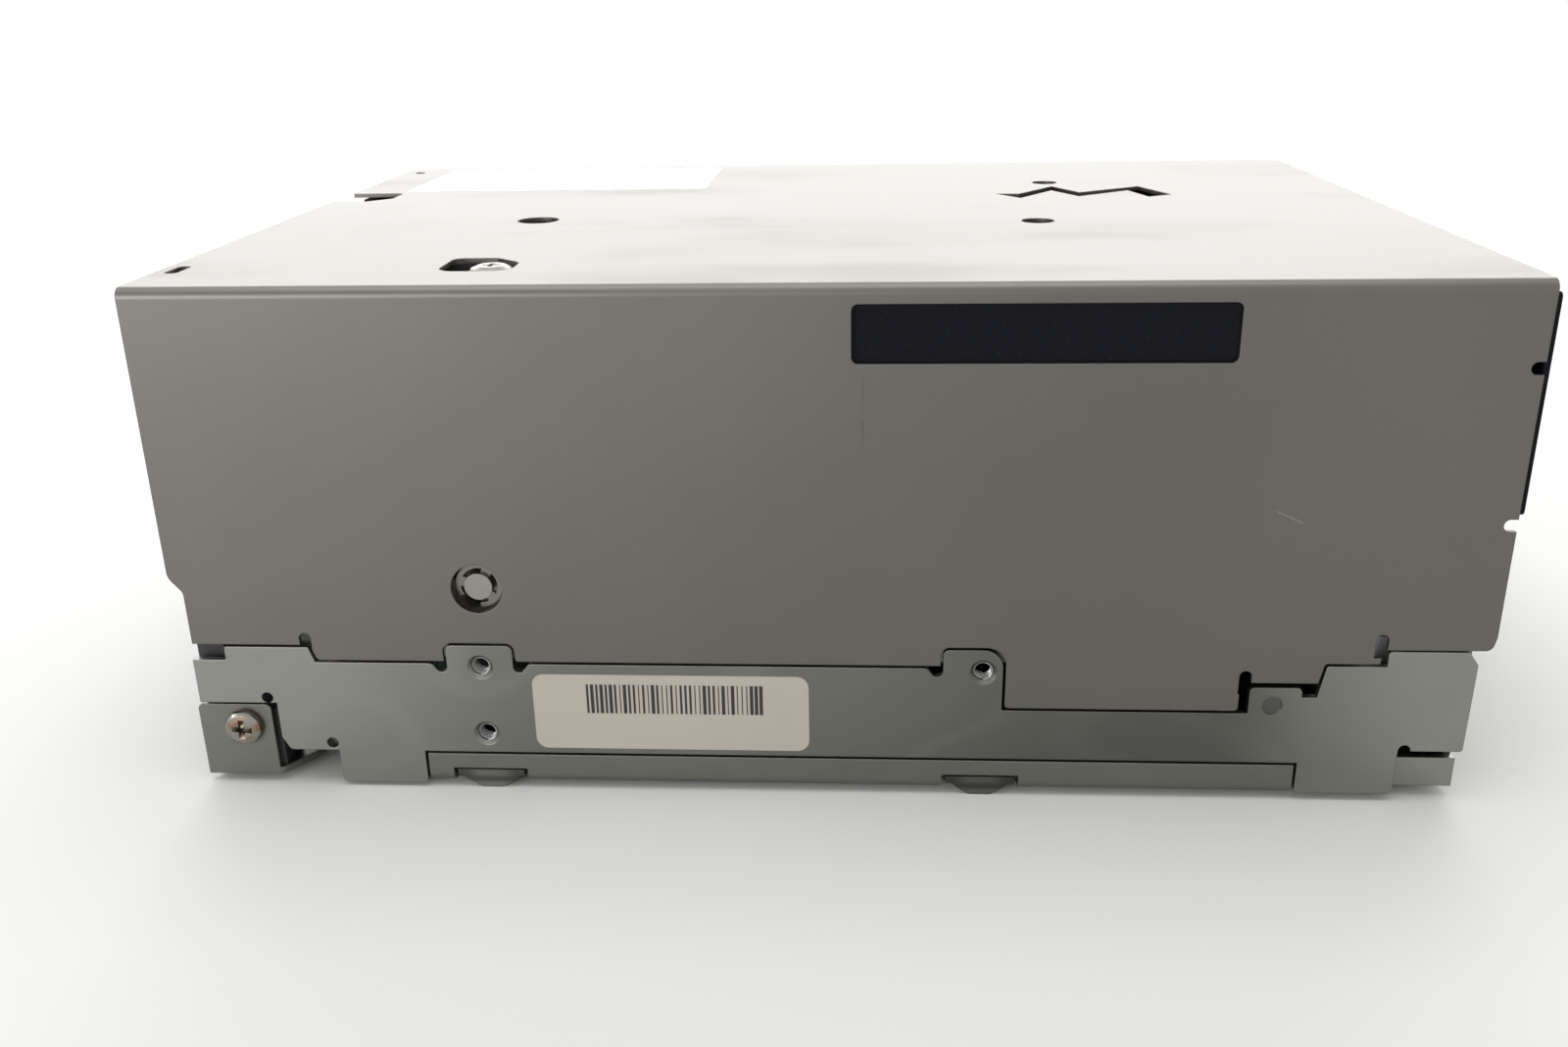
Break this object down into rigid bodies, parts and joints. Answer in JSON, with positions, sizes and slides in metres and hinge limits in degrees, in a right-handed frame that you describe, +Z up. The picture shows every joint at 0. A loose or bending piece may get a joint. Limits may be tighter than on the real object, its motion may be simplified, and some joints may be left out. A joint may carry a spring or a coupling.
{
  "type": "data tape drive",
  "caption": "Full-height tape drive: folded steel case, cartridge loader with slotted slider, reel motors, guide rollers, lifting head and threader arm.",
  "frame": {"origin": "centre of the footprint, at the level of the mounting bosses", "axes": "+Z up, the cartridge slot faces -Y, +X is the side with the long dark window"},
  "size_m": [0.1474, 0.205, 0.0825],
  "materials": {
    "cover_steel": "bare electro-galvanised sheet, fine satin grain",
    "chassis_steel": "bare galvanised sheet, slightly brighter",
    "plated_screws": "zinc plated",
    "black_plastic": "moulded, fine texture",
    "grey_button": "moulded",
    "insulating_film": "thin black polycarbonate film",
    "ground_steel": "ground and polished",
    "circuit_board": "solder mask",
    "chip_black": "moulded epoxy",
    "cast_aluminium": "die cast, shot blasted",
    "bush_rubber": "moulded rubber",
    "motor_steel": "plated steel can",
    "reel_plastic": "glass-filled plastic",
    "head_ceramic": null,
    "coil_copper": "copper coil on spring leaves",
    "mechanism_sheet": "zinc plated sheet",
    "arm_plastic": "natural acetal",
    "gear_brass": "turned brass",
    "gear_plastic": "white acetal"
  },
  "bodies": {
    "case": {"top_cover": "cover_steel", "base_chassis": "chassis_steel", "bottom_cover": "chassis_steel", "underside_screws": "plated_screws", "front_bracket_right": "chassis_steel", "front_bracket_left": "chassis_steel", "bracket_screws": "plated_screws", "front_panel": "black_plastic", "door_pin": "ground_steel", "door_spring": "plated_screws", "panel_board": "circuit_board", "rear_panel": "chassis_steel", "rear_insulator": "insulating_film", "window_insulator": "insulating_film", "main_board": "circuit_board", "board_chips": "chip_black", "standoffs": "plated_screws", "pan_screws": "plated_screws", "power_connector": "black_plastic", "data_connector": "black_plastic", "service_connector": "black_plastic", "deck": "cast_aluminium", "deck_bushes": "bush_rubber", "deck_screws": "plated_screws", "supply_motor": "motor_steel", "takeup_motor": "motor_steel", "roller_pins": "ground_steel", "head_base": "cast_aluminium", "guide_shafts": "ground_steel", "head_motor": "motor_steel", "threader_bridge": "mechanism_sheet", "arm_pivot": "ground_steel", "threader_motor": "motor_steel", "loader_side_right": "mechanism_sheet", "loader_side_left": "mechanism_sheet", "loader_top": "mechanism_sheet", "stub_bush": "gear_brass", "loader_motor": "motor_steel"},
    "supply_hub": {"supply_hub": "reel_plastic"},
    "takeup_reel": {"takeup_hub": "reel_plastic", "takeup_flange": "reel_plastic"},
    "roller_1": {"guide_roller_1": "ground_steel"},
    "roller_2": {"guide_roller_2": "ground_steel"},
    "roller_3": {"guide_roller_3": "ground_steel"},
    "roller_4": {"guide_roller_4": "ground_steel"},
    "head": {"head_carriage": "cast_aluminium", "head_block": "head_ceramic", "fine_actuator": "coil_copper"},
    "lead_screw": {"lead_screw": "ground_steel"},
    "threader": {"threader_arm": "arm_plastic", "leader_block": "arm_plastic"},
    "threader_pinion": {"threader_pinion": "gear_brass"},
    "tray": {"cartridge_tray": "mechanism_sheet", "tray_pins": "ground_steel"},
    "slider": {"tray_slider": "mechanism_sheet"},
    "loader_gear": {"loader_gear": "gear_plastic", "stub_clip": "plated_screws"},
    "loader_worm": {"loader_worm": "gear_brass"},
    "door": {"cartridge_door": "black_plastic"},
    "button": {"eject_button": "grey_button"}
  },
  "joints": [
    {"name": "slider_travel", "type": "slide", "parent": "case", "child": "slider", "axis": [0, 1, 0], "range_m": [0, 0.016]},
    {"name": "tray_drop", "type": "slide", "parent": "case", "child": "tray", "axis": [0, 0, -1], "range_m": [0, 0.0095]},
    {"name": "loader_gear_turn", "type": "hinge", "parent": "case", "child": "loader_gear", "pos_m": [0.0645, -0.0534, 0.0353], "axis": [1, 0, 0], "range_deg": [-152.9, 0]},
    {"name": "loader_worm_turn", "type": "hinge", "parent": "case", "child": "loader_worm", "pos_m": [0.0645, -0.0534, 0.04725], "axis": [0, 1, 0], "range_deg": [-3975, 0]},
    {"name": "supply_spin", "type": "hinge", "parent": "case", "child": "supply_hub", "pos_m": [0.004, -0.0438, 0.032], "axis": [0, 0, 1], "continuous": true},
    {"name": "takeup_spin", "type": "hinge", "parent": "case", "child": "takeup_reel", "pos_m": [0.024, 0.0535, 0.046], "axis": [0, 0, 1], "continuous": true},
    {"name": "roller_1_spin", "type": "hinge", "parent": "case", "child": "roller_1", "pos_m": [-0.036, 0.0165, 0.047], "axis": [0, 0, 1], "continuous": true},
    {"name": "roller_2_spin", "type": "hinge", "parent": "case", "child": "roller_2", "pos_m": [-0.0492, 0.0257, 0.047], "axis": [0, 0, 1], "continuous": true},
    {"name": "roller_3_spin", "type": "hinge", "parent": "case", "child": "roller_3", "pos_m": [-0.0492, 0.0573, 0.047], "axis": [0, 0, 1], "continuous": true},
    {"name": "roller_4_spin", "type": "hinge", "parent": "case", "child": "roller_4", "pos_m": [-0.036, 0.0665, 0.047], "axis": [0, 0, 1], "continuous": true},
    {"name": "head_lift", "type": "slide", "parent": "case", "child": "head", "axis": [0, 0, 1], "range_m": [-0.005, 0.005]},
    {"name": "lead_screw_turn", "type": "hinge", "parent": "case", "child": "lead_screw", "pos_m": [-0.0305, 0.0415, 0.04], "axis": [0, 0, 1], "range_deg": [-901, 901]},
    {"name": "threader_swing", "type": "hinge", "parent": "case", "child": "threader", "pos_m": [-0.02, 0.0395, 0.06], "axis": [0, 0, -1], "range_deg": [-20, 192]},
    {"name": "threader_pinion_turn", "type": "hinge", "parent": "case", "child": "threader_pinion", "pos_m": [-0.02, 0.05875, 0.062], "axis": [0, 0, -1], "range_deg": [-577, 61]},
    {"name": "door_swing", "type": "hinge", "parent": "case", "child": "door", "pos_m": [0.004, -0.0953, 0.0705], "axis": [1, 0, 0], "range_deg": [0, 88], "stiffness_Nm_per_rad": 0.002, "springref_deg": -20.05},
    {"name": "button_press", "type": "slide", "parent": "case", "child": "button", "axis": [0, 1, 0], "range_m": [0, 0.0012], "stiffness_N_per_m": 300, "springref_m": -0.0004}
  ],
  "couplings": [
    {"joint": "tray_drop", "follows": "slider_travel", "ratio": 0.59375},
    {"joint": "loader_gear_turn", "follows": "slider_travel", "rad_per_m": -166.67},
    {"joint": "loader_worm_turn", "follows": "slider_travel", "rad_per_m": -4333.3},
    {"joint": "lead_screw_turn", "follows": "head_lift", "rad_per_m": 3141.6},
    {"joint": "threader_pinion_turn", "follows": "threader_swing", "ratio": -3}
  ]
}
